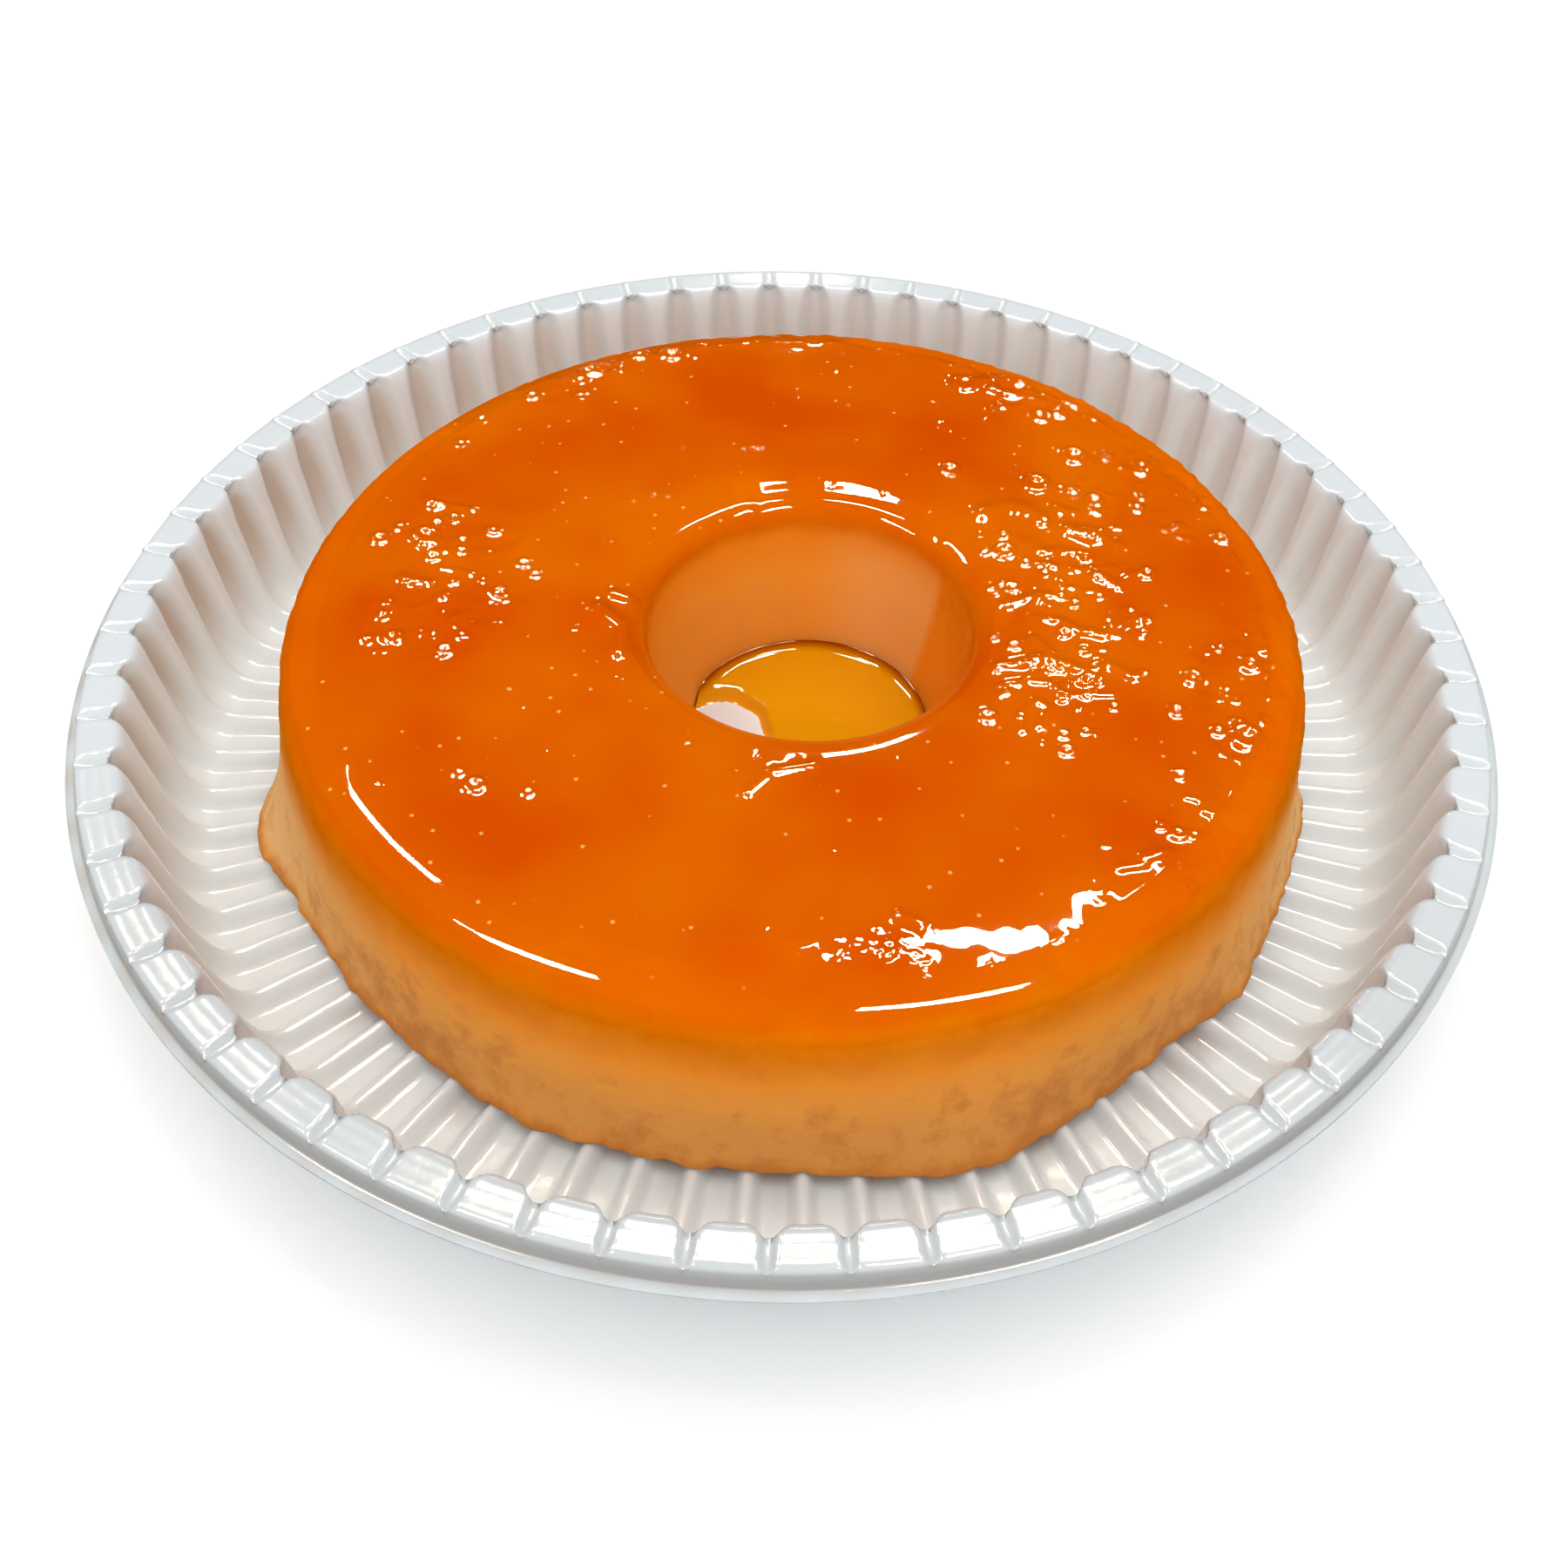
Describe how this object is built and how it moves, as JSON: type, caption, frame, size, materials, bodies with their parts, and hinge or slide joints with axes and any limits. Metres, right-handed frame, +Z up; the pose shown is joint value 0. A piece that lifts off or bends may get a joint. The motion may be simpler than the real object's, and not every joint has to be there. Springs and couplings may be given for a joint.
{
  "type": "caramel pudding on a disposable plate",
  "caption": "Ring-shaped caramel pudding with a bubbled glossy caramel top, standing in syrup on a white fluted disposable plate.",
  "frame": {"origin": "on the surface that the plate stands on, under the middle of the plate", "axes": "+Z up; the pudding is seen from -Y, with the spot of the hole that the syrup leaves bare towards -X"},
  "size_m": [0.21, 0.2098, 0.031],
  "materials": {
    "white_polystyrene": "thermoformed white sheet, satin gloss",
    "caramel_custard": "baked custard under wet caramel, tan at the side and burnt orange on top",
    "amber_syrup": "clear amber sugar syrup, wet gloss"
  },
  "bodies": {
    "root": {"plate": "white_polystyrene", "custard": "caramel_custard", "caramel_pool": "amber_syrup"}
  },
  "joints": []
}
